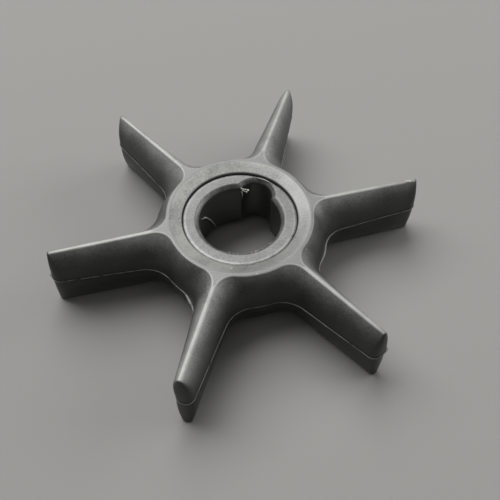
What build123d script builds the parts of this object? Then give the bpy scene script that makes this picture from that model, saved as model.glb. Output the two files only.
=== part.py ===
from build123d import *
import os
from math import atan2, cos, degrees, sqrt, tan

# ---------------------------------------------------------------------------
# Six-vane rubber impeller for a small water pump, with a keyed bush in its hub.
# Millimetres, +Z along the shaft. The origin is the centre of the lower face,
# so the impeller stands on Z = 0. The first vane points along +X.
# ---------------------------------------------------------------------------

# Heights of the rubber moulding
vane_count = 6
rubber_height = 10.2        # over the faces, which the pump's plates wipe
parting_height = 5.4        # mould parting plane above the lower face

# Outline at the parting plane, where the moulding is thickest
parting_tip_radius = 25.35
parting_tip_half = 1.45     # half the thickness of a vane at its rounded tip
parting_root_half = 2.45    # half the thickness of a vane at the hub circle
parting_hub_radius = 11.65
parting_root_fillet = 4.2

# Outline at the upper face, which the draft has thinned
top_tip_radius = 25.0
top_tip_half = 0.30
top_root_half = 0.34
top_hub_radius = 9.9
top_root_fillet = 2.4

# Outline at the lower face
foot_tip_radius = 25.1
foot_tip_half = 0.42
foot_root_half = 0.90
foot_hub_radius = 10.1
foot_root_fillet = 2.6

# Rib of rubber left where the two mould halves met, and the eased edge of the upper face
rib_height = 0.24
rib_stand = 0.15
edge_ease = 0.12

# Arcs in one quarter of a round tip and in one root fillet. The drafted walls are ruled
# between short arcs, which keeps each wall face nearly flat.
tip_pieces = 5
root_pieces = 5

# Shallow dish round the bush in both faces, and the groove between rubber and bush
dish_radius = 9.4
dish_depth = 0.55
groove_radius = 7.95
groove_depth = 0.75

# Keyed bush, bonded in the hub
bush_radius = 7.7
bush_bottom = 1.3
bush_top = 9.35
bush_chamfer = 0.38
bore_radius = 5.5
bore_chamfer = 0.5
key_radius = 2.3            # half-round keyway
key_offset = 4.75           # from the shaft axis to the keyway's centre
key_angle = 50.0            # from the first vane towards the second

cut_margin = 1.0            # how far a cut runs past a face


def grown(sizes, amount):
    """The same outline, moved outwards by an even amount, or inwards by a negative one."""
    tip_radius, tip_half, root_half, hub_radius, root_fillet = sizes
    return (tip_radius + amount, tip_half + amount, root_half + amount,
            hub_radius + amount, root_fillet - amount)


def round_stretch(centre, radius, start, end, pieces):
    """Arc from one angle to another, in degrees, as short arcs that stay separate edges."""
    turn = (end - start) / pieces
    return [CenterArc(centre, radius, start + piece * turn, turn, mode=Mode.PRIVATE)
            for piece in range(pieces)]


def star_outline(height, sizes):
    """Hub circle with six tapering vanes, round at their tips and filleted at their roots."""
    tip_radius, tip_half, root_half, hub_radius, root_fillet = sizes
    tip_centre = tip_radius - tip_half
    taper = atan2(root_half - tip_half, tip_centre - hub_radius)

    # the root fillet's centre is one fillet radius off the vane's side and off the hub
    side_stand = (tip_half + tan(taper) * tip_centre) * cos(taper)
    side_length = sqrt((hub_radius + root_fillet) ** 2 - (side_stand + root_fillet) ** 2)
    side_end = Vector(side_length, side_stand).rotate(Axis.Z, -degrees(taper))
    fillet_centre = Vector(side_length, side_stand + root_fillet).rotate(Axis.Z, -degrees(taper))
    fillet_angle = degrees(atan2(fillet_centre.Y, fillet_centre.X))

    half_vane = [
        *round_stretch((tip_centre, 0), tip_half, 0, 90, tip_pieces),
        Line((tip_centre, tip_half), side_end, mode=Mode.PRIVATE),
        *round_stretch(fillet_centre, root_fillet, -90 - degrees(taper), fillet_angle - 180,
                       root_pieces),
    ]
    other_half = [edge.mirror(Plane.XZ) for edge in half_vane]
    hub_wall = CenterArc((0, 0), hub_radius, fillet_angle, 360 / vane_count - 2 * fillet_angle,
                         mode=Mode.PRIVATE)
    sector = [*half_vane, *other_half, hub_wall]
    edges = [edge.rotate(Axis.Z, vane * 360 / vane_count)
             for vane in range(vane_count) for edge in sector]
    return Wire(edges).translate((0, 0, height))


# ---------------------------------------------------------------------------
# Rubber moulding: hub and vanes are one piece
# ---------------------------------------------------------------------------
parting_sizes = (parting_tip_radius, parting_tip_half, parting_root_half,
                 parting_hub_radius, parting_root_fillet)
top_sizes = (top_tip_radius, top_tip_half, top_root_half, top_hub_radius, top_root_fillet)
foot_sizes = (foot_tip_radius, foot_tip_half, foot_root_half, foot_hub_radius, foot_root_fillet)

parting_outline = star_outline(parting_height, parting_sizes)
rib_outline = star_outline(parting_height, grown(parting_sizes, rib_stand))
top_shoulder = star_outline(rubber_height - edge_ease, top_sizes)
top_outline = star_outline(rubber_height, grown(top_sizes, -edge_ease))
foot_outline = star_outline(0, foot_sizes)

with BuildPart() as impeller_rubber:
    # every wall has draft, so the moulding thins both ways from the parting plane
    add(Solid.make_loft([parting_outline, top_shoulder, top_outline], ruled=True), clean=False)
    add(Solid.make_loft([foot_outline, parting_outline], ruled=True), clean=False)

    # parting rib, all round the hub and vanes
    extrude(Face(rib_outline), amount=rib_height / 2, both=True, clean=False)

    # dished hub faces, the groove at the bush and the hole that the bush is bonded in
    with BuildSketch(Plane.XZ):
        with BuildLine():
            Polyline(
                (0, -cut_margin),
                (dish_radius, -cut_margin),
                (dish_radius, 0),
                (groove_radius, dish_depth),
                (bush_radius, dish_depth + groove_depth),
                (bush_radius, rubber_height - dish_depth - groove_depth),
                (groove_radius, rubber_height - dish_depth),
                (dish_radius, rubber_height),
                (dish_radius, rubber_height + cut_margin),
                (0, rubber_height + cut_margin),
                close=True,
            )
        make_face()
    revolve(axis=Axis.Z, mode=Mode.SUBTRACT, clean=False)

# ---------------------------------------------------------------------------
# Keyed bush
# ---------------------------------------------------------------------------
bottom_centred = (Align.CENTER, Align.CENTER, Align.MIN)

with BuildPart() as hub_bush:
    with BuildSketch(Plane.XZ):
        with BuildLine():
            Polyline(
                (bore_radius, bush_bottom + bore_chamfer),
                (bore_radius + bore_chamfer, bush_bottom),
                (bush_radius - bush_chamfer, bush_bottom),
                (bush_radius, bush_bottom + bush_chamfer),
                (bush_radius, bush_top - bush_chamfer),
                (bush_radius - bush_chamfer, bush_top),
                (bore_radius + bore_chamfer, bush_top),
                (bore_radius, bush_top - bore_chamfer),
                close=True,
            )
        make_face()
    revolve(axis=Axis.Z)

    # half-round keyway with the bore's own chamfer at both ends
    with PolarLocations(key_offset, 1, start_angle=key_angle):
        Cylinder(key_radius, rubber_height, align=bottom_centred, mode=Mode.SUBTRACT)
        with Locations((0, 0, bush_bottom)):
            Cone(key_radius + bore_chamfer, key_radius, bore_chamfer,
                 align=bottom_centred, mode=Mode.SUBTRACT)
        with Locations((0, 0, bush_top - bore_chamfer)):
            Cone(key_radius, key_radius + bore_chamfer, bore_chamfer,
                 align=bottom_centred, mode=Mode.SUBTRACT)

impeller_rubber.part.label = "impeller_rubber"
hub_bush.part.label = "hub_bush"

os.makedirs("parts", exist_ok=True)
export_step(impeller_rubber.part, "parts/impeller_rubber.step")
export_step(hub_bush.part, "parts/hub_bush.step")
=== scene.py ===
# %% [markdown]
# # Rubber pump impeller
#
# The real part has two pieces. A soft black rubber moulding carries the hub and the
# six drafted vanes, and a hard keyed bush is bonded in its middle. A plain CAD frame of
# both is loaded first. Each piece is then made as its own fine mesh, with the rounded
# edges, the parting rib and the surface that the plain solid leaves out.
#
# Blender works in metres. A size is written as millimetres times MM, and a list of
# places is in plain millimetres. Every piece is made where it stands, so nothing is
# moved into place afterwards.

# %% Load the frame
from math import atan, atan2, cos, exp, pi, radians, sin, sqrt, tan

import bmesh
import bpy
from mathutils import Matrix, Vector


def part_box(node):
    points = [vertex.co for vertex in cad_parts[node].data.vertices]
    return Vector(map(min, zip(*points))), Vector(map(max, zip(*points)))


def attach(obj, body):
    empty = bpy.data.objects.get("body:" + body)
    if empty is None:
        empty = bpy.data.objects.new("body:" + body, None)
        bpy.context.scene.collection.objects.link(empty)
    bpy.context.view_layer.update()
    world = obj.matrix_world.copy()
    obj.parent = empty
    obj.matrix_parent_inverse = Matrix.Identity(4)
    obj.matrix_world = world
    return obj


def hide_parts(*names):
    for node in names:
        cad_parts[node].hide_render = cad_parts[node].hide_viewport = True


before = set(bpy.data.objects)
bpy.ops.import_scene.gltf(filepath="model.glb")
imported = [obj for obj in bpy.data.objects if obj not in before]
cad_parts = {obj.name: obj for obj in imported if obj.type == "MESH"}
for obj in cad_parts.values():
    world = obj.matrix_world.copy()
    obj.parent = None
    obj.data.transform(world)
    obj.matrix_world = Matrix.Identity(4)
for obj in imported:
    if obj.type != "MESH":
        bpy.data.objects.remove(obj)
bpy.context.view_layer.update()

rubber_low, rubber_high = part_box("impeller_rubber")
bush_low, bush_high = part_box("hub_bush")
MM = 0.001

# %% [markdown]
# ## Sizes
#
# The moulding is described by its outline at three heights: the upper face, the parting
# plane where the two halves of the mould met, and the lower face. Draft makes it
# thinnest at the two faces. One outline needs only five sizes, so a shape between two
# heights is a blend of two short lists.

# %% Sizes of the moulding
VANES = 6
TOP_Z = rubber_high.z
PARTING_Z = 5.4 * MM

# tip radius, half thickness at the tip, half thickness at the root, hub radius, root fillet
TOP_SIZES = [25.0 * MM, 0.30 * MM, 0.38 * MM, 9.9 * MM, 2.4 * MM]
PARTING_SIZES = [25.35 * MM, 1.45 * MM, 2.45 * MM, 11.65 * MM, 4.2 * MM]
FOOT_SIZES = [25.25 * MM, 0.62 * MM, 1.05 * MM, 10.1 * MM, 2.6 * MM]

CREST_ROUND = 0.30 * MM
FOOT_ROUND = 0.28 * MM
RIB_STAND = 0.11 * MM
RIB_HALF = 0.12 * MM


def blend(first, last, share):
    """A list of sizes part of the way from the first to the last."""
    return [a + (b - a) * share for a, b in zip(first, last)]


def grown(sizes, amount):
    """The same outline moved outwards by an even amount, or inwards if it is negative."""
    tip_radius, tip_half, root_half, hub_radius, root_fillet = sizes
    return [tip_radius + amount, tip_half + amount, root_half + amount,
            hub_radius + amount, root_fillet - amount]


print("moulding height, mm:", round((TOP_Z - rubber_low.z) / MM, 2))

# %% [markdown]
# ## The outline of half a vane
#
# Half of one sixth of the outline is a rounded tip, a straight side, a root fillet and
# a stretch of the hub circle. Each is found by plain geometry: the fillet's centre
# stands one fillet radius off the side and off the hub circle at once. Points are
# counted out the same way at every height, so outlines stack into clean rows of faces.

# %% Half an outline
TIP_STEPS = 12
SIDE_STEPS = 26
ROOT_STEPS = 14
HUB_STEPS = 8
VANE_STEPS = TIP_STEPS + SIDE_STEPS
HALF_STEPS = VANE_STEPS + ROOT_STEPS + HUB_STEPS
# how squarely a vane ends: 2 is a half circle, more is a flatter end with rounded corners
TIP_POWER = 2.4


def half_outline(sizes):
    """Points from the tip of a vane along +X round to the middle of the hub wall."""
    tip_radius, tip_half, root_half, hub_radius, root_fillet = sizes
    tip_centre = tip_radius - tip_half
    taper = atan((root_half - tip_half) / (tip_centre - hub_radius))
    stand = (tip_half + tan(taper) * tip_centre) * cos(taper)
    along = sqrt((hub_radius + root_fillet) ** 2 - (stand + root_fillet) ** 2)
    turned = Matrix.Rotation(-taper, 2)
    side_end = turned @ Vector((along, stand))
    fillet = turned @ Vector((along, stand + root_fillet))
    fillet_angle = atan2(fillet.y, fillet.x)
    points = []
    for i in range(TIP_STEPS):
        angle = pi / 2 * i / TIP_STEPS
        points.append(Vector((tip_centre + tip_half * cos(angle) ** (2 / TIP_POWER),
                              tip_half * sin(angle) ** (2 / TIP_POWER))))
    side_start = Vector((tip_centre, tip_half))
    points += [side_start.lerp(side_end, i / SIDE_STEPS) for i in range(SIDE_STEPS)]
    first, last = -pi / 2 - taper, fillet_angle - pi
    for i in range(ROOT_STEPS):
        angle = first + (last - first) * i / ROOT_STEPS
        points.append(fillet + root_fillet * Vector((cos(angle), sin(angle))))
    for i in range(HUB_STEPS + 1):
        angle = fillet_angle + (pi / VANES - fillet_angle) * i / HUB_STEPS
        points.append(hub_radius * Vector((cos(angle), sin(angle))))
    return points


def between(first, last, share):
    """A row part of the way from the first to the last."""
    return [a.lerp(b, share) for a, b in zip(first, last)]


def sector_loop(sizes, height):
    """The whole sixth: the half outline, mirrored across the vane, at one height."""
    half = half_outline(sizes)
    mirrored = [Vector((p.x, -p.y)) for p in reversed(half[1:])]
    return [Vector((p.x, p.y, height)) for p in mirrored + half]


print("points in one sixth of an outline:", len(sector_loop(TOP_SIZES, TOP_Z)))

# %% [markdown]
# ## The rows of the wall
#
# Seen in section, the wall starts on the upper face, rounds over the crest, runs down
# full and rounded to the parting plane, stands out in the thin rib that the mould halves
# left, and goes back in towards the lower face. Each row also carries four marks for
# the finish: how much it belongs to the rib, to the flat faces, to the painted highlight
# along the edge of a face, and to the painted sheen that runs down the wall from that
# edge. The hub's face adds one more, for the polish and painted sheen of the ring round
# the bush. A mark is one number for a whole row, or a list where it changes from the
# vane's end to the hub.

# %% Marks along the outline
# how much of the painted sheen and highlight is left on the end of a vane: a low share
# keeps the end dark, as painted shade
END_SHEEN = 0.08
# how much of the painted sheen the hub's faces and walls have, beside a vane
HUB_SHEEN = 0.6


def along_outline(at_tip, on_vane, on_hub):
    """A share for every point of a sector's loop, blended from the vane's end to the hub."""
    stops = [(0, at_tip), (TIP_STEPS * 0.5, at_tip), (TIP_STEPS + 2, on_vane),
             (VANE_STEPS, on_vane), (VANE_STEPS + ROOT_STEPS, on_hub), (HALF_STEPS, on_hub)]
    half = []
    for step in range(HALF_STEPS + 1):
        for (start, first), (end, last) in zip(stops, stops[1:]):
            if start <= step <= end:
                share = first + (last - first) * (step - start) / (end - start)
        half.append(share)
    return half[:0:-1] + half


shoulder_shares = along_outline(END_SHEEN, 1.0, HUB_SHEEN)
print("shoulder at the vane's end and at the hub:", shoulder_shares[HALF_STEPS],
      shoulder_shares[-1])

# %% Rounded edges
CREST_ROWS = 6
# the rounding stops at this angle, where the full wall takes over
DRAFT_LEAN = radians(34)
# how fast the flat face's finish fades over the edge
FACE_FADE = 4
# how broad the painted highlight along a vane's crest and the bush's edge is: less than 1
# is broader
HIGHLIGHT_POWER = 0.5


def rounded_rows(sizes, face_z, radius, up):
    """Rows over the edge of a face, from the face out. Up is 1 on the upper face, -1 below."""
    rows = []
    for i in range(CREST_ROWS + 1):
        lean = pi / 2 + (DRAFT_LEAN - pi / 2) * i / CREST_ROWS
        inset = radius * (cos(DRAFT_LEAN) - cos(lean))
        height = face_z - up * radius * (1 - sin(lean))
        # the edge mark is a painted highlight along the crest and the shoulder mark painted sheen;
        # both are low on the vane's end
        crest_highlight = cos(pi / 2 * i / CREST_ROWS) ** HIGHLIGHT_POWER
        marks = {"land": sin(lean) ** FACE_FADE, "shoulder": shoulder_shares,
                 "edge": along_outline(crest_highlight * END_SHEEN, crest_highlight, sin(pi * i / CREST_ROWS))}
        rows.append((sector_loop(grown(sizes, -inset), height), marks))
    return rows


upper_edge = rounded_rows(TOP_SIZES, TOP_Z, CREST_ROUND, 1)
lower_edge = rounded_rows(FOOT_SIZES, 0.0, FOOT_ROUND, -1)
print("rows over each edge:", len(upper_edge))

# %% Full walls
WALL_ROWS = 16
# rows crowd towards the face, where the wall turns most: 1 is evenly spaced
ROW_CROWDING = 1.4
# how full the wall is between a face and the parting plane: 1 is straight, more is rounder
WALL_POWER = 2.2
# how fast the painted sheen under the crest fades on its way down to the parting plane
SHEEN_FADE = 3.4


def wall_rows(face_sizes, face_z, parting_z):
    """Rows from a face to the parting plane, without the first and the last."""
    rows = []
    for i in range(1, WALL_ROWS):
        depth = (i / WALL_ROWS) ** ROW_CROWDING
        fullness = 1 - (1 - depth) ** WALL_POWER
        height = face_z + (parting_z - face_z) * depth
        # painted sheen on the wall, palest under the crest and fading down to the parting plane
        sheen = exp(-SHEEN_FADE * depth)
        rows.append((sector_loop(blend(face_sizes, PARTING_SIZES, fullness), height),
                     {"shoulder": along_outline(END_SHEEN * sheen, sheen, HUB_SHEEN * sheen)}))
    return rows


upper_wall = wall_rows(TOP_SIZES, upper_edge[-1][0][0].z, PARTING_Z + RIB_HALF)
lower_wall = wall_rows(FOOT_SIZES, lower_edge[-1][0][0].z, PARTING_Z - RIB_HALF)
print("rows in each wall:", len(upper_wall))

# %% The rib, and all rows from face to face
# the rib in section: rise beside its half height, and share of its full stand
RIB_PROFILE = [(1.0, 0.0), (0.72, 0.3), (0.36, 0.82), (0.0, 1.0), (-0.36, 0.82), (-0.72, 0.3),
               (-1.0, 0.0)]
rib_rows = [(sector_loop(grown(PARTING_SIZES, stand * RIB_STAND), PARTING_Z + rise * RIB_HALF),
             {"rib": stand}) for rise, stand in RIB_PROFILE]
outer_rows = upper_edge + upper_wall + rib_rows + lower_wall[::-1] + lower_edge[::-1]
print("rows from face to face:", len(outer_rows))

# %% [markdown]
# ## The hub faces
#
# Inside the crest the hub's face is flat for a moment, then dishes gently towards the
# bush and drops into the narrow groove beside it. These parts are round, so a row is
# given by a radius and a height. Its points keep the angles of the outline outside it.

# %% Hub face rows
LAND_ROWS = 6
BUSH_RADIUS = (bush_high.x - bush_low.x) / 2
HOLE_RADIUS = BUSH_RADIUS + 0.01 * MM
GROOVE_DEPTH = 1.3 * MM
# radius, depth below the face and share of the ring's polish and painted sheen, from the
# dish to the groove
DISH_PROFILE = [(9.4, 0.0, 0.0), (9.25, 0.04, 1.0), (8.9, 0.16, 1.0), (8.5, 0.32, 1.0),
                (8.02, 0.50, 1.0), (7.86, 0.55, 0.9), (7.79, 0.59, 0.5), (7.765, 0.66, 0.1),
                (7.74, 0.95, 0.0)]


def hub_face_rows(edge_loop, face_z, up):
    """Rows from the crest's inner edge to the groove's foot, on the points that reach the hub."""
    kept = edge_loop[:HALF_STEPS - VANE_STEPS + 1] + edge_loop[HALF_STEPS + VANE_STEPS:]

    def circle(radius, depth):
        height = face_z - up * depth
        return [Vector((p.x, p.y, 0)).normalized() * radius + Vector((0, 0, height))
                for p in kept]

    rim = circle(DISH_PROFILE[0][0] * MM, 0.0)
    rows = []
    for i in range(1, LAND_ROWS):
        rows.append((between(kept, rim, i / LAND_ROWS), {"land": 1.0, "shoulder": HUB_SHEEN}))
    for radius, depth, ring in DISH_PROFILE:
        face = float(ring > 0 or depth == 0)
        rows.append((circle(radius * MM, depth * MM),
                     {"land": face, "shoulder": HUB_SHEEN * face, "ring": ring}))
    rows.append((circle(HOLE_RADIUS, GROOVE_DEPTH), {}))
    return rows


upper_hub = hub_face_rows(upper_edge[0][0], TOP_Z, 1)
lower_hub = hub_face_rows(lower_edge[0][0], 0.0, -1)
print("rows in a hub face:", len(upper_hub), "of", len(upper_hub[0][0]), "points")

# %% [markdown]
# ## One sixth as a mesh
#
# The rows become a mesh by joining neighbouring points with four-sided faces. A vane's
# crest is closed across from side to side. The marks are stored as attributes on
# the points, so that the material can find the rib, the worn faces, the painted sheen
# and the painted highlights later on.

# %% A mesh that grows by rows


class SectorMesh:
    """Collects points with their marks, and faces, for one sixth of the moulding."""

    def __init__(self):
        self.points, self.faces = [], []
        self.marks = {"rib": [], "land": [], "edge": [], "shoulder": [], "ring": []}

    def row(self, loop, marks):
        """Adds a row of points and returns their numbers. A mark not given is 0."""
        start = len(self.points)
        self.points += [tuple(p) for p in loop]
        for mark, shares in self.marks.items():
            share = marks.get(mark, 0.0)
            shares += share if isinstance(share, list) else [share] * len(loop)
        return list(range(start, start + len(loop)))

    def bridge(self, first, second):
        """Joins two rows with a strip of faces."""
        for i in range(len(first) - 1):
            self.faces.append((first[i], first[i + 1], second[i + 1], second[i]))


sector = SectorMesh()
outer_ids = [sector.row(*row) for row in outer_rows]
for first, second in zip(outer_ids, outer_ids[1:]):
    sector.bridge(first, second)
print("outer wall:", len(sector.faces), "faces")

# %% Close the faces and line the hole
HOLE_ROWS = 6


def close_face(edge_ids, hub_rows):
    """Closes the crest of the vane and builds the hub face inside it."""
    middle = HALF_STEPS
    for k in range(VANE_STEPS):
        corners = [edge_ids[middle + k], edge_ids[middle + k + 1],
                   edge_ids[middle - k - 1], edge_ids[middle - k]]
        sector.faces.append(tuple(dict.fromkeys(corners)))
    ids = edge_ids[:HALF_STEPS - VANE_STEPS + 1] + edge_ids[HALF_STEPS + VANE_STEPS:]
    for loop, marks in hub_rows:
        inner = sector.row(loop, marks)
        sector.bridge(ids, inner)
        ids = inner
    return ids


upper_foot = close_face(outer_ids[0], upper_hub)
lower_foot = close_face(outer_ids[-1], lower_hub)
hole_ids = upper_foot
for step in range(1, HOLE_ROWS):
    next_ids = sector.row(between(upper_hub[-1][0], lower_hub[-1][0], step / HOLE_ROWS), {})
    sector.bridge(hole_ids, next_ids)
    hole_ids = next_ids
sector.bridge(hole_ids, lower_foot)
print("with both faces and the hole:", len(sector.faces), "faces")

# %% Store the sector


def store_mark(data, name, shares):
    """Keeps one number for every point of a mesh, under a name that nodes can read."""
    data.attributes.new(name, "FLOAT", "POINT").data.foreach_set("value", shares)


def add_object(name, data):
    """An object for a mesh, a lamp or a camera, linked to the scene."""
    item = bpy.data.objects.new(name, data)
    bpy.context.scene.collection.objects.link(item)
    return item


sector_data = bpy.data.meshes.new("vane_sector")
sector_data.from_pydata(sector.points, [], sector.faces)
for mark, shares in sector.marks.items():
    store_mark(sector_data, mark, shares)
sector_data.update()
print("one sixth:", len(sector.points), "points, marks:", list(sector.marks))

# %% [markdown]
# ## Helpers for node trees
#
# Materials and Geometry Nodes are both graphs. A short helper that makes a node, sets
# its plain properties and joins its inputs keeps each graph readable: an input is
# either a value or the output of an earlier node.

# %% Nodes, sums and noise


def add_node(tree, kind, settings=None, **links):
    """A new node. Links are given by input name, or by _number for a repeated name."""
    node = tree.nodes.new(kind)
    for key, value in (settings or {}).items():
        setattr(node, key, value)
    for key, value in links.items():
        if key.startswith("_"):
            socket = node.inputs[int(key[1:])]
        else:
            socket = node.inputs[key.replace("_", " ")]
        if isinstance(value, bpy.types.NodeSocket):
            tree.links.new(value, socket)
        else:
            socket.default_value = value
    return node


def calc(tree, operation, first, second=0.5):
    """One step of arithmetic on two values."""
    return add_node(tree, "ShaderNodeMath", {"operation": operation},
                    _0=first, _1=second).outputs[0]


def weighed(tree, first, second, share=0.5):
    """The sum of two values, each times the same share."""
    return calc(tree, "ADD", calc(tree, "MULTIPLY", first, share),
                calc(tree, "MULTIPLY", second, share))


def noise(tree, coordinates, scale, detail=2.0, rough=0.5, offset=None):
    """Noise texture, kept to its value output. The scale is in waves per metre."""
    if offset is not None:
        coordinates = add_node(tree, "ShaderNodeVectorMath", {"operation": "ADD"},
                               _0=coordinates, _1=offset).outputs[0]
    return add_node(tree, "ShaderNodeTexNoise", None, Vector=coordinates, Scale=scale,
                    Detail=detail, Roughness=rough).outputs[0]


print("helpers for nodes, sums and noise ready")

# %% Ramps, colours and materials


def ramp(tree, factor, low, high):
    """Spreads the values from low to high over 0 to 1."""
    return add_node(tree, "ShaderNodeMapRange", {"clamp": True}, Value=factor,
                    From_Min=low, From_Max=high).outputs[0]


def ramp_to(tree, factor, first, last):
    """Turns 0 to 1 into a value between the first and the last."""
    return add_node(tree, "ShaderNodeMapRange", {"clamp": True}, Value=factor,
                    To_Min=first, To_Max=last).outputs[0]


def mix_colour(tree, factor, first, second):
    """The first colour where the factor is 0, the second where it is 1."""
    return add_node(tree, "ShaderNodeMix", {"data_type": "RGBA"}, _0=factor, _6=first,
                    _7=second).outputs[2]


def read_mark(tree, name):
    """A mark of the mesh, as a value for a material."""
    return add_node(tree, "ShaderNodeAttribute", {"attribute_name": name}).outputs["Fac"]


def raised(tree, height, strength, depth):
    """A normal that leans as if the height stood out of the surface."""
    return add_node(tree, "ShaderNodeBump", None, Strength=strength, Distance=depth,
                    Height=height).outputs[0]


def join(tree, surface, **outputs):
    """Joins outputs of nodes to the surface's inputs, given by name."""
    for key, value in outputs.items():
        tree.links.new(value, surface.inputs[key.replace("_", " ")])


def new_material(name, **constants):
    """A Principled material with constant values on its own sockets."""
    material = bpy.data.materials.new(name)
    material.use_nodes = True
    tree = material.node_tree
    surface = tree.nodes["Principled BSDF"]
    for key, value in constants.items():
        surface.inputs[key.replace("_", " ")].default_value = value
    place = tree.nodes.new("ShaderNodeTexCoord").outputs["Object"]
    return material, tree, surface, place


print("helpers for materials ready")

# %% [markdown]
# ## Black moulded rubber
#
# Moulded nitrile rubber is near black. Its walls carry the fine grain of the mould and a
# faint mottled grey bloom. A painted sheen makes a wall palest under its crest and
# blackest at the parting line, as a light from above would. The flat faces rub on the
# pump's plates: they are greyer, partly worn and partly painted sheen, and polished
# enough to shine. That needs two materials, since gloss is one number for a whole
# material, and both read the same marks.

# %% Rubber colours and noises
RUBBER_DARK = (0.008, 0.009, 0.009, 1)
RUBBER_BLOOM = (0.018, 0.019, 0.018, 1)
# the rib's pale grey is a painted highlight, where the thin rib catches the light
RIB_HIGHLIGHT = (0.60, 0.60, 0.57, 1)
# each noise: waves per metre, detail, roughness and, for the gaps, a shift of its own
RUBBER_CLOUD = (260, 3.0, 0.6)
RUBBER_FLECK = (5200, 2.0, 0.6)
RUBBER_GRAIN = (7600, 3.0, 0.65)
RUBBER_PEEL = (1500, 2.0, 0.5)
RIB_GAPS = (900, 2.0, 0.5, (0.3, 0.1, 0.2))
# where a noise turns from nothing to full, for the black itself and for the rib
BLOOM_RANGE = (0.38, 0.68)
RIB_RANGE = (0.25, 0.50)
# each kind of wear and painted light: its mark, the noise that breaks it up, that noise's
# range, its grey (the patches are clouds and flecks together). The shoulder grey is
# painted sheen, the land grey is wear with painted sheen, the ring grey is polish with
# painted sheen and the edge grey is a painted highlight
RUBBER_WEAR_AND_SHEEN = [
    ("shoulder", "patch", (0.18, 0.66), (0.420, 0.427, 0.400, 1)),
    ("land", "fleck", (0.33, 0.60), (0.128, 0.130, 0.121, 1)),
    ("ring", "patch", (0.32, 0.60), (0.560, 0.568, 0.520, 1)),
    ("edge", "cloud", (0.15, 0.65), (0.460, 0.465, 0.430, 1)),
]
print("kinds of wear on the rubber:", [mark for mark, *rest in RUBBER_WEAR_AND_SHEEN])

# %% Rubber finish
# how much rougher the rubber is in its palest patches
PATCH_ROUGHNESS = 0.18
# the rib's painted highlight keeps to its crown: 1 is a soft edge, more is a sharper one
RIB_SHARPNESS = 1.6
# share of the grain, and of the broader peel, in the relief
RELIEF_SHARE = 0.6
RUBBER_RELIEF = 0.03 * MM


def rubber_finish(name, index, gloss, roughness, strength):
    """The rubber's nodes, with an index, gloss, roughness and strength of grain of its own."""
    material, tree, surface, place = new_material(name, IOR=index, Specular_IOR_Level=gloss)
    cloud = noise(tree, place, *RUBBER_CLOUD)
    fleck = noise(tree, place, *RUBBER_FLECK)
    grain = noise(tree, place, *RUBBER_GRAIN)
    peel = noise(tree, place, *RUBBER_PEEL)
    patch = weighed(tree, cloud, fleck)
    colour = mix_colour(tree, ramp(tree, patch, *BLOOM_RANGE), RUBBER_DARK, RUBBER_BLOOM)
    noises = {"cloud": cloud, "fleck": fleck, "patch": patch}
    # wear and painted light: painted sheen on the walls and faces, a painted highlight on the
    # edges
    for mark, source, limits, grey in RUBBER_WEAR_AND_SHEEN:
        share = calc(tree, "MULTIPLY", read_mark(tree, mark), ramp(tree, noises[source], *limits))
        colour = mix_colour(tree, share, colour, grey)
    # painted highlight on the rib's crown, broken into gaps by noise
    unbroken = ramp(tree, noise(tree, place, *RIB_GAPS), *RIB_RANGE)
    crown = calc(tree, "POWER", read_mark(tree, "rib"), RIB_SHARPNESS)
    colour = mix_colour(tree, calc(tree, "MULTIPLY", crown, unbroken), colour, RIB_HIGHLIGHT)
    rough = calc(tree, "ADD", calc(tree, "MULTIPLY", patch, PATCH_ROUGHNESS), roughness)
    relief = weighed(tree, grain, peel, RELIEF_SHARE)
    join(tree, surface, Base_Color=colour, Roughness=rough,
         Normal=raised(tree, relief, strength, RUBBER_RELIEF))
    return material


rubber_wall = rubber_finish("moulded_rubber", 1.52, 0.5, 0.36, 0.6)
rubber_face = rubber_finish("rubbed_rubber", 1.6, 1.0, 0.32, 0.45)
print("rubber nodes:", len(rubber_wall.node_tree.nodes))

# %% [markdown]
# ## Six vanes from one
#
# The moulding has six-fold symmetry, so Geometry Nodes turn one sixth six times about
# the shaft, weld the seams, and only then move the points a little. Because the
# unevenness comes after the weld, no two vanes are quite alike, as on a real moulding.
# The rib varies more than the walls, since flash is torn off rather than moulded.

# %% Make and run a Geometry Nodes tree


def geometry_tree(name, inputs):
    """An empty Geometry Nodes tree with named inputs, and its input and output nodes."""
    tree = bpy.data.node_groups.new(name, "GeometryNodeTree")
    tree.interface.new_socket("Geometry", in_out="INPUT", socket_type="NodeSocketGeometry")
    tree.interface.new_socket("Geometry", in_out="OUTPUT", socket_type="NodeSocketGeometry")
    for label, kind in inputs:
        tree.interface.new_socket(label, in_out="INPUT", socket_type="NodeSocket" + kind)
    return tree, tree.nodes.new("NodeGroupInput").outputs, tree.nodes.new("NodeGroupOutput").inputs


def next_step(tree, kind, before, **links):
    """One more step on the geometry that the step before gives out."""
    return add_node(tree, "GeometryNode" + kind, None, Geometry=before, **links).outputs[0]


def read_stored(tree, name):
    """A mark of the mesh, as a field for Geometry Nodes."""
    return add_node(tree, "GeometryNodeInputNamedAttribute", {"data_type": "FLOAT"},
                    Name=name).outputs[0]


def seeded_noise(tree, place, seed, scale, detail=2.0):
    """Noise about zero at a place, which changes with the seed."""
    texture = add_node(tree, "ShaderNodeTexNoise", {"noise_dimensions": "4D"}, Vector=place,
                       W=seed, Scale=scale, Detail=detail)
    return calc(tree, "SUBTRACT", texture.outputs[0], 0.5)


def along_normal(tree, distance):
    """An offset of the given distance, straight out of the surface."""
    return add_node(tree, "ShaderNodeVectorMath", {"operation": "SCALE"},
                    _0=add_node(tree, "GeometryNodeInputNormal").outputs[0],
                    Scale=distance).outputs[0]


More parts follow.
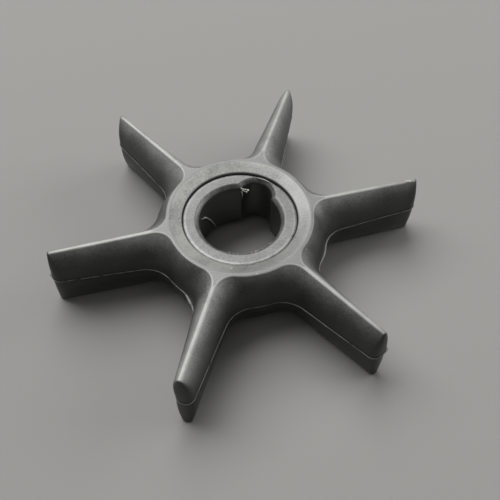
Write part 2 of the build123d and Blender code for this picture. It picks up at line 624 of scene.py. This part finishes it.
def run_tree(piece_name, start_data, tree, values):
    """Runs a tree on a mesh with its inputs set, and keeps the result as a plain mesh."""
    carrier = add_object(piece_name + "_carrier", start_data)
    modifier = carrier.modifiers.new("build", "NODES")
    modifier.node_group = tree
    for item in tree.interface.items_tree:
        if item.in_out == "INPUT" and item.name in values:
            modifier[item.identifier] = values[item.name]
    carrier.update_tag()
    evaluated = carrier.evaluated_get(bpy.context.evaluated_depsgraph_get())
    data = bpy.data.meshes.new_from_object(evaluated)
    data.name = piece_name
    carrier.modifiers.remove(modifier)
    bpy.data.objects.remove(carrier)
    return add_object(piece_name, data)


print("helpers for Geometry Nodes ready")

# %% The repeat tree: turn, copy and weld
repeat, given, result = geometry_tree("repeat_vanes", [
    ("Vane count", "Int"), ("Weld distance", "Float"), ("Unevenness", "Float"),
    ("Rib unevenness", "Float"), ("Seed", "Int"), ("Wall material", "Material"),
    ("Face material", "Material")])
turn_step = calc(repeat, "DIVIDE", 2 * pi, given["Vane count"])
turn_angle = calc(repeat, "MULTIPLY", add_node(repeat, "GeometryNodeInputIndex").outputs[0],
                  turn_step)
spots = add_node(repeat, "GeometryNodePoints", None, Count=given["Vane count"])
turn = add_node(repeat, "FunctionNodeAxisAngleToRotation", None, Axis=(0, 0, 1),
                Angle=turn_angle)
copies = add_node(repeat, "GeometryNodeInstanceOnPoints", None, Points=spots.outputs[0],
                  Instance=given["Geometry"], Rotation=turn.outputs[0])
whole = next_step(repeat, "RealizeInstances", copies.outputs[0])
welded = next_step(repeat, "MergeByDistance", whole, Distance=given["Weld distance"])
print("nodes that repeat the vane:", len(repeat.nodes))

# %% The repeat tree: uneven walls and two materials
# waves per metre of the slow swell of the walls, and of the torn rib
SWELL_SCALE, TEAR_SCALE = 170.0, 1300.0
# a face gets the shiny material where its share of the flat face is above this
FLAT_SHARE = 0.6
where = add_node(repeat, "GeometryNodeInputPosition").outputs[0]
swell = seeded_noise(repeat, where, given["Seed"], SWELL_SCALE, 1.0)
tear = seeded_noise(repeat, where, given["Seed"], TEAR_SCALE, 3.0)
rib_share = read_stored(repeat, "rib")
land_share = read_stored(repeat, "land")
off_face = calc(repeat, "SUBTRACT", 1.0, land_share)
swell = calc(repeat, "MULTIPLY", swell,
             calc(repeat, "MULTIPLY", off_face, given["Unevenness"]))
tear = calc(repeat, "MULTIPLY", tear,
            calc(repeat, "MULTIPLY", rib_share, given["Rib unevenness"]))
moved = next_step(repeat, "SetPosition", welded,
                  Offset=along_normal(repeat, calc(repeat, "ADD", swell, tear)))
smooth = next_step(repeat, "SetShadeSmooth", moved)
painted = next_step(repeat, "SetMaterial", smooth, Material=given["Wall material"])
flat = add_node(repeat, "FunctionNodeCompare", {"operation": "GREATER_THAN"},
                _0=land_share, _1=FLAT_SHARE).outputs[0]
painted = next_step(repeat, "SetMaterial", painted, Selection=flat,
                    Material=given["Face material"])
repeat.links.new(painted, result[0])
print("repeat tree nodes:", len(repeat.nodes))

# %% Make the moulding
# points closer than this are one point
DOUBLES = 0.0005 * MM


def face_outwards(piece):
    """Welds what still lies double, turns every face outwards and prints the result."""
    work = bmesh.new()
    work.from_mesh(piece.data)
    bmesh.ops.remove_doubles(work, verts=work.verts, dist=DOUBLES)
    bmesh.ops.recalc_face_normals(work, faces=work.faces)
    open_edges = sum(1 for edge in work.edges if not edge.is_manifold)
    if work.calc_volume(signed=True) < 0:
        bmesh.ops.reverse_faces(work, faces=work.faces)
    volume = work.calc_volume(signed=True) / MM ** 3
    work.to_mesh(piece.data)
    work.free()
    for polygon in piece.data.polygons:
        polygon.use_smooth = True
    print(piece.name, "faces:", len(piece.data.polygons), "open edges:", open_edges,
          "volume, mm3:", round(volume, 1))


moulding = run_tree("impeller_moulding", sector_data, repeat, {
    "Vane count": VANES, "Weld distance": 0.002 * MM, "Unevenness": 0.10 * MM,
    "Rib unevenness": 0.14 * MM, "Seed": 7, "Wall material": rubber_wall,
    "Face material": rubber_face})
face_outwards(moulding)

# %% [markdown]
# ## Each vane has its own set
#
# A rubber vane never stands quite as the mould drew it: one leans, one is a little
# longer, and the foot creeps outwards where it was stored against something. A short
# table gives each vane's lean and reach in millimetres at its tip, and its thickness
# beside the drawn one, at three heights. A last number says how strong the painted
# sheen on its walls is, stronger where a vane's walls face the light.
# The move fades to nothing at the hub, so the shaft's fit isn't touched.

# %% The vanes' table
# for each vane: sideways lean, reach, and thickness beside the drawn one, each at the
# crest, the parting and the foot, then the strength of its painted sheen
VANE_SET = [
    ((0.00, 0.00, 0.00), (0.00, 0.00, 0.05), (1.00, 1.00, 1.00), 1.45),
    ((-0.40, 0.00, 0.00), (0.00, 0.00, 0.05), (1.00, 0.95, 0.95), 1.65),
    ((0.00, 0.00, 0.00), (0.25, 0.08, 0.20), (1.00, 1.00, 1.00), 1.75),
    ((0.20, 0.22, 0.36), (0.33, 0.33, 0.40), (1.00, 1.00, 1.00), 1.00),
    ((0.06, 0.36, 0.50), (0.00, 0.10, 0.40), (1.20, 0.82, 1.15), 1.35),
    ((0.00, 0.00, 0.00), (-0.05, 0.00, 0.05), (1.00, 1.00, 1.00), 0.85),
]
# where a vane's own lean begins, and where its painted sheen begins and is full
ROOT_RADIUS = 10.5 * MM
SHEEN_START, SHEEN_FULL = 9.5 * MM, 13.0 * MM
# the ring round the bush has polish and a painted highlight, palest on one side: the mean
# share and its swing
RING_SHEEN_ANGLE = radians(110)
RING_SHEEN_MEAN, RING_SHEEN_SWING = 0.67, 0.33


def at_height(three, z):
    """A crest, parting and foot value blended to one height."""
    crest, parting, foot = three
    if z > PARTING_Z:
        return parting + (crest - parting) * (z - PARTING_Z) / (TOP_Z - PARTING_Z)
    return parting + (foot - parting) * (PARTING_Z - z) / PARTING_Z


print("largest lean of a crest, mm:", max(abs(row[0][0]) for row in VANE_SET))

# %% Lean and stretch the vanes


def set_vanes(piece):
    """Shapes every vane by its row of the table, most at the tip, and sets its painted sheen."""
    shoulder = piece.data.attributes["shoulder"].data
    ring = piece.data.attributes["ring"].data
    for vertex in piece.data.vertices:
        place = vertex.co
        around = atan2(place.y, place.x)
        vane = round(around / (2 * pi / VANES)) % VANES
        angle = 2 * pi * vane / VANES
        outwards = Vector((cos(angle), sin(angle), 0))
        sideways = Vector((-sin(angle), cos(angle), 0))
        lean, reach, thickness, sheen = VANE_SET[vane]
        distance = place.dot(outwards)
        on_vane = min(max((distance - SHEEN_START) / (SHEEN_FULL - SHEEN_START), 0), 1)
        # painted sheen, stronger on the vanes whose walls face the light, and a painted highlight
        # on the ring round the bush, palest on one side
        shoulder[vertex.index].value *= 1 + on_vane * (sheen - 1)
        ring[vertex.index].value *= RING_SHEEN_MEAN + RING_SHEEN_SWING * cos(around - RING_SHEEN_ANGLE)
        weight = (distance - ROOT_RADIUS) / (TOP_SIZES[0] - ROOT_RADIUS)
        if weight > 0:
            aside = (at_height(lean, place.z) * MM
                     + (at_height(thickness, place.z) - 1) * place.dot(sideways))
            further = at_height(reach, place.z) * MM
            vertex.co = place + weight * (aside * sideways + further * outwards)


set_vanes(moulding)
moulding.data.update()
print("vanes set, size in mm:", [round(size / MM, 2) for size in moulding.dimensions])

# %% [markdown]
# ## Torn flash
#
# The rib is what is left of the thin flash between the mould halves. It was torn off by
# hand, so in a few places a thicker lip or a small nub still stands. Each is a spot on
# the rib, and the rib's own points are pushed outwards round it.

# %% Flash left on the rib
# place x and y, size of the spot and how far it stands out, in mm
FLASH_SPOTS = [
    (-8.99, -8.68, 1.30, 0.30),
    (10.33, -5.49, 2.20, 0.22),
    (-25.80, -0.22, 0.22, 0.26),
    (13.40, -21.20, 0.55, 0.22),
    (-12.72, 22.03, 0.28, 0.22),
]


def flash_at(place):
    """How far flash stands out at a place, in mm: every spot fades away like a bell."""
    return sum(tall * exp(-((place.x / MM - x) ** 2 + (place.y / MM - y) ** 2) / size ** 2)
               for x, y, size, tall in FLASH_SPOTS)


def leave_flash(piece):
    """Pushes the rib outwards round every spot and returns how many points it has."""
    ribs = [share.value for share in piece.data.attributes["rib"].data]
    moved = {v.index: v.co + v.normal * ribs[v.index] * flash_at(v.co) * MM
             for v in piece.data.vertices if ribs[v.index] > 0}
    for index, place in moved.items():
        piece.data.vertices[index].co = place
    return len(moved)


print("rib points:", leave_flash(moulding))

# %% [markdown]
# ## The keyed bush
#
# The bush is a plain ring with a half-round keyway in its bore. It is built from closed
# rows as well: the outer rows are circles, the inner rows follow the bore and keyway.
# Bore and keyway are given the same number of points in every row, so the corner where
# they meet stays sharp and the chamfer follows both.

# %% The bore's outline
BORE_RADIUS = 5.5 * MM
KEY_RADIUS = 2.3 * MM
KEY_OFFSET = 4.75 * MM
KEY_ANGLE = radians(50)
BORE_CHAMFER = 0.5 * MM
KEY_STEPS = 40
BORE_STEPS = 150


def bore_loop(growth, height):
    """The bore and its keyway, both wider by the same growth, as one closed row."""
    bore, key = BORE_RADIUS + growth, KEY_RADIUS + growth
    # angle at the shaft axis, and at the keyway's centre, of the corner where they meet
    at_axis = (bore ** 2 + KEY_OFFSET ** 2 - key ** 2) / (2 * bore * KEY_OFFSET)
    axis_angle = atan2(sqrt(1 - at_axis ** 2), at_axis)
    corner = Vector((bore * cos(axis_angle) - KEY_OFFSET, bore * sin(axis_angle)))
    key_angle = atan2(corner.y, corner.x)
    points = []
    for i in range(KEY_STEPS):
        angle = -key_angle + 2 * key_angle * i / KEY_STEPS
        points.append(Vector((KEY_OFFSET + key * cos(angle), key * sin(angle))))
    for i in range(BORE_STEPS):
        angle = axis_angle + (2 * pi - 2 * axis_angle) * i / BORE_STEPS
        points.append(bore * Vector((cos(angle), sin(angle))))
    turned = Matrix.Rotation(KEY_ANGLE, 2)
    return [Vector((*(turned @ p), height)) for p in points]


bore_guide = bore_loop(BORE_CHAMFER, 0)
print("points round the bore:", len(bore_guide))

# %% Rows over both ends and down the bore
EDGE_ROUND = 0.36 * MM
EDGE_ROWS = 6
FACE_ROWS = 6
BORE_ROWS = 10
# the flat of the face stops this far outside the chamfer
MOUTH_EASE = 0.06 * MM
# growth of the bore, depth below the face, and share of the face's finish
CHAMFER_PROFILE = [(0.46 * MM, 0.03 * MM, 1.0), (0.25 * MM, 0.25 * MM, 0.9),
                   (0.04 * MM, 0.47 * MM, 0.7), (0.0, 0.56 * MM, 0.1)]


def round_loop(radius, height):
    """A circle whose points stand at the angles of the bore's own points."""
    return [Vector((p.x, p.y, 0)).normalized() * radius + Vector((0, 0, height))
            for p in bore_guide]


def end_rows(face_z, up):
    """Rows over one end of the bush, from its outer wall to its bore, with their marks."""
    rows = []
    for i in range(EDGE_ROWS + 1):
        lean = pi / 2 * i / EDGE_ROWS
        loop = round_loop(BUSH_RADIUS - EDGE_ROUND * (1 - cos(lean)),
                          face_z - up * EDGE_ROUND * (1 - sin(lean)))
        # the end mark is the pale end, partly painted sheen; the edge mark a painted highlight on
        # the rounding
        rows.append((loop, {"end": sin(lean), "edge": sin(lean) ** HIGHLIGHT_POWER}))
    rim = rows[-1][0]
    mouth = bore_loop(BORE_CHAMFER + MOUTH_EASE, face_z)
    for i in range(1, FACE_ROWS + 1):
        rows.append((between(rim, mouth, i / FACE_ROWS), {"end": 1.0}))
    for growth, depth, end in CHAMFER_PROFILE:
        rows.append((bore_loop(growth, face_z - up * depth), {"end": end}))
    return rows


top_end = end_rows(bush_high.z, 1)
low_end = end_rows(bush_low.z, -1)
bore_wall = [(between(top_end[-1][0], low_end[-1][0], i / BORE_ROWS), {})
             for i in range(1, BORE_ROWS)]
bush_rows = top_end + bore_wall + low_end[::-1]
print("bush rows:", len(bush_rows), "of", len(bore_guide), "points")

# %% [markdown]
# ## Hard plastic of the bush
#
# The bush is a hard, filled plastic. Its end faces are grey with mottling from the
# filler, partly worn and partly painted sheen, and the rounded outer edge carries a
# painted highlight all the way round. Down in the bore, where nothing rubs but the shaft,
# the plastic keeps its moulded black. Swarf, the fine thread and ragged burr that a cutter
# leaves, is paler than the face it came from; on the burr that pale is a painted glint.

# %% Bush finish
BUSH_BLACK = (0.050, 0.050, 0.047, 1)
# the ends' pale grey is partly wear and partly painted sheen
BUSH_PALE = (0.250, 0.250, 0.231, 1)
BUSH_EDGE_HIGHLIGHT = (0.50, 0.50, 0.47, 1)
# the swarf's pale is the thread's own colour, and a painted glint on the burr
SWARF_PALE_AND_GLINT = (0.80, 0.80, 0.75, 1)
# each noise: waves per metre, detail, roughness and a shift of its own
PLASTIC_CLOUD = (700, 3.0, 0.6, (0.1, 0.2, 0.3))
PLASTIC_FLECK = (4200, 3.0, 0.65, (0.2, 0.5, 0.1))
# where a noise turns from nothing to full, for the mottling and for the painted highlight
MOTTLE_RANGE = (0.36, 0.66)
HIGHLIGHT_RANGE = (0.2, 0.6)
# roughness of the plastic, how much the mottling adds and how much the painted highlight
# takes off
PLASTIC_ROUGHNESS, MOTTLE_ROUGHNESS, EDGE_SHINE = 0.27, 0.22, 0.12
PLASTIC_RELIEF = 0.025 * MM


def plastic_finish(name):
    """The bush's nodes: mottled ends with painted sheen, a black bore, a painted highlight on the
    edge and pale swarf.
    """
    material, tree, surface, place = new_material(name, IOR=1.52, Specular_IOR_Level=1.0)
    cloud = noise(tree, place, *PLASTIC_CLOUD)
    fleck = noise(tree, place, *PLASTIC_FLECK)
    shade = weighed(tree, cloud, fleck)
    colour = mix_colour(tree, ramp(tree, shade, *MOTTLE_RANGE), BUSH_BLACK, BUSH_PALE)
    colour = mix_colour(tree, read_mark(tree, "end"), BUSH_BLACK, colour)
    # painted highlight on the rounded edge
    edge_highlight = calc(tree, "MULTIPLY", read_mark(tree, "edge"), ramp(tree, cloud, *HIGHLIGHT_RANGE))
    colour = mix_colour(tree, edge_highlight, colour, BUSH_EDGE_HIGHLIGHT)
    colour = mix_colour(tree, read_mark(tree, "swarf"), colour, SWARF_PALE_AND_GLINT)
    dull = calc(tree, "ADD", calc(tree, "MULTIPLY", shade, MOTTLE_ROUGHNESS), PLASTIC_ROUGHNESS)
    rough = calc(tree, "SUBTRACT", dull, calc(tree, "MULTIPLY", edge_highlight, EDGE_SHINE))
    join(tree, surface, Base_Color=colour, Roughness=rough,
         Normal=raised(tree, shade, 0.35, PLASTIC_RELIEF))
    return material


hard_plastic = plastic_finish("filled_plastic")
print("bush nodes:", len(hard_plastic.node_tree.nodes))

# %% [markdown]
# ## Swarf in the bore
#
# A fine thread of swarf lies in the bore, and a ragged burr hangs on one corner of the
# keyway. Each strand is a thin closed tube swept along a short listed path, because a
# real shaving follows no rule. The strands become part of the bush's own mesh, with a
# mark that makes them paler than the rest.

# %% Strands
# a strand is a path in mm with the strand's radius at each point of it
# the first strand is the thread; the three short ones are the burr on the keyway's corner, whose
# pale is a painted glint
STRANDS = [
    [(-4.86, 2.54, 7.28, 0.05), (-4.60, 2.62, 7.20, 0.09), (-4.26, 3.14, 6.80, 0.11),
     (-3.79, 3.70, 5.81, 0.11), (-3.24, 4.18, 4.49, 0.10), (-2.74, 4.53, 3.12, 0.09),
     (-2.38, 4.76, 1.90, 0.07), (-2.40, 4.93, 1.60, 0.04)],
    [(1.40, 5.34, 8.92, 0.05), (1.80, 5.00, 8.92, 0.06), (2.30, 4.76, 8.86, 0.05)],
    [(1.52, 5.26, 8.60, 0.05), (1.90, 4.93, 8.50, 0.06), (2.18, 4.80, 8.40, 0.04)],
    [(1.50, 5.24, 8.30, 0.05), (1.62, 5.14, 7.60, 0.08), (1.58, 5.18, 6.60, 0.03)],
]
STRAND_SIDES = 8


def strand_mesh(path, first_index):
    """A thin closed tube along a path: its points, and faces counted from the first index."""
    centres = [Vector(step[:3]) * MM for step in path]
    points, faces = [], []
    for i, (centre, step) in enumerate(zip(centres, path)):
        along = (centres[min(i + 1, len(path) - 1)] - centres[max(i - 1, 0)]).normalized()
        across = along.orthogonal().normalized()
        for k in range(STRAND_SIDES):
            spoke = Matrix.Rotation(2 * pi * k / STRAND_SIDES, 3, along) @ across
            points.append(tuple(centre + spoke * step[3] * MM))
    for i in range(len(path) - 1):
        for k in range(STRAND_SIDES):
            here, after = i * STRAND_SIDES + k, i * STRAND_SIDES + (k + 1) % STRAND_SIDES
            faces.append((here, after, after + STRAND_SIDES, here + STRAND_SIDES))
    last = (len(path) - 1) * STRAND_SIDES
    faces += [tuple(range(STRAND_SIDES))[::-1], tuple(range(last, last + STRAND_SIDES))]
    return points, [tuple(first_index + corner for corner in face) for face in faces]


print("points along the strands:", sum(len(path) for path in STRANDS))

# %% Make the bush
# the painted highlight on the rounded edge is weakest on one side: the mean share and its
# swing
HIGHLIGHT_ANGLE = radians(75)
HIGHLIGHT_MEAN, HIGHLIGHT_SWING = 0.66, 0.34


def edge_highlight_at(place):
    """Share of the edge's painted highlight that a place has, by its angle round the shaft."""
    return HIGHLIGHT_MEAN - HIGHLIGHT_SWING * cos(atan2(place.y, place.x) - HIGHLIGHT_ANGLE)


def ring_faces(rows):
    """Faces between closed rows of the same length. The last row joins back to the first."""
    count = len(rows[0][0])
    faces = []
    for r in range(len(rows)):
        here, there = r * count, (r + 1) % len(rows) * count
        for i in range(count):
            after = (i + 1) % count
            faces.append((here + i, here + after, there + after, there + i))
    return faces


def make_bush(name, rows, material):
    """The ring and its strands as one mesh, with a mark for each finish on every point."""
    points, faces = [tuple(p) for loop, marks in rows for p in loop], ring_faces(rows)
    ring_points = len(points)
    for path in STRANDS:
        more_points, more_faces = strand_mesh(path, len(points))
        points += more_points
        faces += more_faces
    strand_points = len(points) - ring_points
    ends = [marks.get("end", 0.0) for loop, marks in rows for p in loop]
    edges = [marks.get("edge", 0.0) * edge_highlight_at(p) for loop, marks in rows for p in loop]
    data = bpy.data.meshes.new(name)
    data.from_pydata(points, [], faces)
    store_mark(data, "end", ends + [0.0] * strand_points)
    store_mark(data, "edge", edges + [0.0] * strand_points)
    store_mark(data, "swarf", [0.0] * ring_points + [1.0] * strand_points)
    data.materials.append(material)
    return add_object(name, data)


bush = make_bush("keyed_bush", bush_rows, hard_plastic)
face_outwards(bush)

# %% [markdown]
# ## Specks
#
# A few pale specks of dust lie on the hub, and a few pale flecks on one crest. The pale
# lumps on the keyway's burr and the tiny burrs along one edge of the bore are painted
# glints: real burrs, made pale where they catch the light. Geometry Nodes put a lump on
# every point of a short list. Its size comes from the list, its turn and its dents from
# a fixed seed, so no two match.

# %% Where the specks lie
# place x, y, z and size, in mm
# dust on the hub, pale flecks on one crest, painted glints on the keyway's burr, and fine dust on
# the hub's face
SPECKS = [
    (-3.16, -7.98, 9.93, 0.24), (-2.93, -8.02, 9.92, 0.15), (-0.25, -9.77, 10.20, 0.20),
    (23.95, -0.08, 10.10, 0.46), (23.62, -0.02, 10.10, 0.42), (23.25, -0.10, 10.16, 0.24),
    (1.98, 4.88, 8.93, 0.26), (2.32, 4.76, 8.84, 0.32), (2.14, 4.82, 8.44, 0.26),
    (1.72, 5.08, 8.88, 0.16), (1.84, 4.98, 8.52, 0.14),
    (-7.20, 6.10, 10.20, 0.10), (6.90, -7.60, 10.20, 0.10), (-8.90, -4.10, 10.20, 0.09),
]
# angles of the tiny burrs round the bore, in degrees, their height and their sizes in mm;
# their pale is a painted glint
BURR_ANGLES = [-118, -113, -107, -99, -96, -88, -82, -79, -71, -66, -58]
BURR_Z = 8.86
BURR_SIZES = (0.07, 0.12, 0.17)
bore_mm = BORE_RADIUS / MM
burr_glints = [(bore_mm * cos(radians(a)), bore_mm * sin(radians(a)), BURR_Z, BURR_SIZES[a % 3])
         for a in BURR_ANGLES]
speck_data = bpy.data.meshes.new("speck_points")
speck_data.from_pydata([(x * MM, y * MM, z * MM) for x, y, z, size in SPECKS + burr_glints], [], [])
store_mark(speck_data, "size", [size * MM for x, y, z, size in SPECKS + burr_glints])
print("specks:", len(SPECKS), "burrs:", len(burr_glints))

# %% Pale dust and painted glints
SPECK_DARK = (0.58, 0.57, 0.48, 1)
SPECK_PALE = (0.90, 0.89, 0.80, 1)
SPECK_SCALE = 9000
SPECK_RANGE = (0.3, 0.7)


def speck_finish(name):
    """The specks' nodes: rough, and mottled between two pale greys."""
    material, tree, surface, place = new_material(name, Roughness=0.6)
    mottle = ramp(tree, noise(tree, place, SPECK_SCALE, 2.0), *SPECK_RANGE)
    join(tree, surface, Base_Color=mix_colour(tree, mottle, SPECK_DARK, SPECK_PALE))
    return material


dust_and_glint = speck_finish("pale_dust_and_glint")
print("dust nodes:", len(dust_and_glint.node_tree.nodes))

# %% The speck tree
# waves per metre of the dents in a speck
DENT_SCALE = 9000.0
scatter, given, result = geometry_tree("scatter_specks", [
    ("Dents", "Float"), ("Seed", "Int"), ("Material", "Material")])
lump = add_node(scatter, "GeometryNodeMeshIcoSphere", None, Radius=0.5, Subdivisions=2)
spin = add_node(scatter, "FunctionNodeRandomValue", {"data_type": "FLOAT_VECTOR"},
                Seed=given["Seed"])
spin.inputs["Max"].default_value = (pi, pi, pi)
lumps = add_node(scatter, "GeometryNodeInstanceOnPoints", None, Points=given["Geometry"],
                 Instance=lump.outputs[0], Rotation=spin.outputs[0],
                 Scale=read_stored(scatter, "size"))
lumps = next_step(scatter, "RealizeInstances", lumps.outputs[0])
where = add_node(scatter, "GeometryNodeInputPosition").outputs[0]
dent = seeded_noise(scatter, where, given["Seed"], DENT_SCALE)
lumps = next_step(scatter, "SetPosition", lumps,
                  Offset=along_normal(scatter, calc(scatter, "MULTIPLY", dent, given["Dents"])))
lumps = next_step(scatter, "SetMaterial", lumps, Material=given["Material"])
scatter.links.new(lumps, result[0])
specks = run_tree("dust_and_glint_specks", speck_data, scatter, {
    "Dents": 0.16 * MM, "Seed": 3, "Material": dust_and_glint})
face_outwards(specks)

# %% [markdown]
# ## Riding on the frame
#
# Each fine piece stands for one CAD node and rides on the part's only body. The specks
# stand for nothing and only ride along.

# %% Ride and replace
for piece, node, slot in ((moulding, "impeller_rubber", "rubber"), (bush, "hub_bush", "bush")):
    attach(piece, "root")
    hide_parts(node)
    print(piece.name, "stands for", node)
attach(specks, "root")

# %% [markdown]
# ## Floor
#
# The floor is one plain pale sheet. It looks pale where the camera sees it, but throws
# back less light than it seems to, so the lower walls of the black part stay black.

# %% Floor
FLOOR_SIZE = 1.6
FLOOR_SEEN = (0.40, 0.395, 0.38, 1)
FLOOR_BOUNCE = (0.10, 0.10, 0.10, 1)


def floor_finish(name):
    """The floor's nodes: one colour for the eye, another for the light it throws back."""
    material, tree, surface, place = new_material(name, Roughness=0.8, Specular_IOR_Level=0.2)
    ray = tree.nodes.new("ShaderNodeLightPath").outputs
    seen = calc(tree, "MAXIMUM", ray["Is Camera Ray"],
                calc(tree, "MAXIMUM", ray["Is Glossy Ray"], ray["Is Transmission Ray"]))
    join(tree, surface, Base_Color=mix_colour(tree, seen, FLOOR_BOUNCE, FLOOR_SEEN))
    return material


side = FLOOR_SIZE / 2
floor_data = bpy.data.meshes.new("floor")
floor_data.from_pydata([(-side, -side, 0), (side, -side, 0), (side, side, 0), (-side, side, 0)],
                       [], [(0, 1, 2, 3)])
floor = add_object("floor", floor_data)
floor_data.materials.append(floor_finish("floor_paint"))
print("floor, metres:", [round(size, 2) for size in floor.dimensions])

# %% [markdown]
# ## Light
#
# One wide soft light stands behind and to the left, so its reflection lies on the flat
# faces and the shadows fall towards the viewer. A broad weak one hangs overhead, and a
# small one stands low on the right, where it keeps the vanes' right walls readable. A
# faint even light comes from the room. Seen directly, the room is as pale as the floor,
# so a low view has no dark band behind the part.

# %% Lamps
LIGHT_AIM = Vector((0, 0, 0.005))
# name, way from the part, distance, width, depth, all in metres, and power in watts
LAMPS = [
    ("soft_window", (-0.20, 0.52, 0.83), 0.7, 0.76, 0.48, 4.5),
    ("soft_ceiling", (0.0, -0.10, 0.99), 1.0, 1.4, 1.0, 1.0),
    ("soft_side", (0.91, 0.08, 0.40), 0.6, 0.45, 0.30, 1.2),
]


def soft_lamp(name, way, distance, width, depth, power):
    """A soft rectangular lamp that stands the given way from the part and faces it."""
    data = bpy.data.lights.new(name, "AREA")
    data.shape = "RECTANGLE"
    data.size, data.size_y, data.energy = width, depth, power
    lamp = add_object(name, data)
    lamp.location = LIGHT_AIM + Vector(way).normalized() * distance
    lamp.rotation_euler = Vector(way).to_track_quat("Z", "Y").to_euler()


for lamp_sizes in LAMPS:
    soft_lamp(*lamp_sizes)
print("lamps:", [name for name, *sizes in LAMPS])

# %% Room
ROOM_GLOW = 0.06
ROOM_SEEN = 0.42
world = bpy.data.worlds.new("room")
world.use_nodes = True
room = world.node_tree.nodes["Background"]
room.inputs["Color"].default_value = (1, 1, 1, 1)
sight = world.node_tree.nodes.new("ShaderNodeLightPath").outputs["Is Camera Ray"]
join(world.node_tree, room, Strength=ramp_to(world.node_tree, sight, ROOM_GLOW, ROOM_SEEN))
bpy.context.scene.world = world
print("room glow:", ROOM_GLOW, "seen as:", ROOM_SEEN)

# %% [markdown]
# ## Camera
#
# The camera looks steeply down from a little left of the front, near enough for the
# front vanes to look larger than the back ones. It is placed by the way it looks, its
# distance and a small roll, rather than by a position, so each can be set alone.

# %% Camera
AZIMUTH = radians(-14.929)
ELEVATION = radians(55.069)
ROLL = radians(0.7834)
CAMERA_TARGET = Vector((0.717, -2.734, 5.4)) * MM
CAMERA_REACH = 96.02 * MM
# sensor width and focal length, both in the millimetres that the camera takes
SENSOR_WIDTH, LENS = 36, 50.84
NEAR_CLIP = 2 * MM
back = Vector((sin(AZIMUTH) * cos(ELEVATION), -cos(AZIMUTH) * cos(ELEVATION), sin(ELEVATION)))
across = (-back).cross(Vector((0, 0, 1))).normalized()
above = across.cross(-back)
right = cos(ROLL) * across + sin(ROLL) * above
up = -sin(ROLL) * across + cos(ROLL) * above
camera_data = bpy.data.cameras.new("camera")
camera_data.sensor_width = SENSOR_WIDTH
camera_data.lens = LENS
camera_data.clip_start = NEAR_CLIP
camera = add_object("camera", camera_data)
camera.matrix_world = Matrix.Translation(CAMERA_TARGET + back * CAMERA_REACH) @ Matrix(
    (right, up, back)).transposed().to_4x4()
bpy.context.scene.camera = camera
bpy.context.scene.view_settings.view_transform = "Standard"
print("camera stands at, mm:", [round(v / MM, 1) for v in camera.matrix_world.translation])
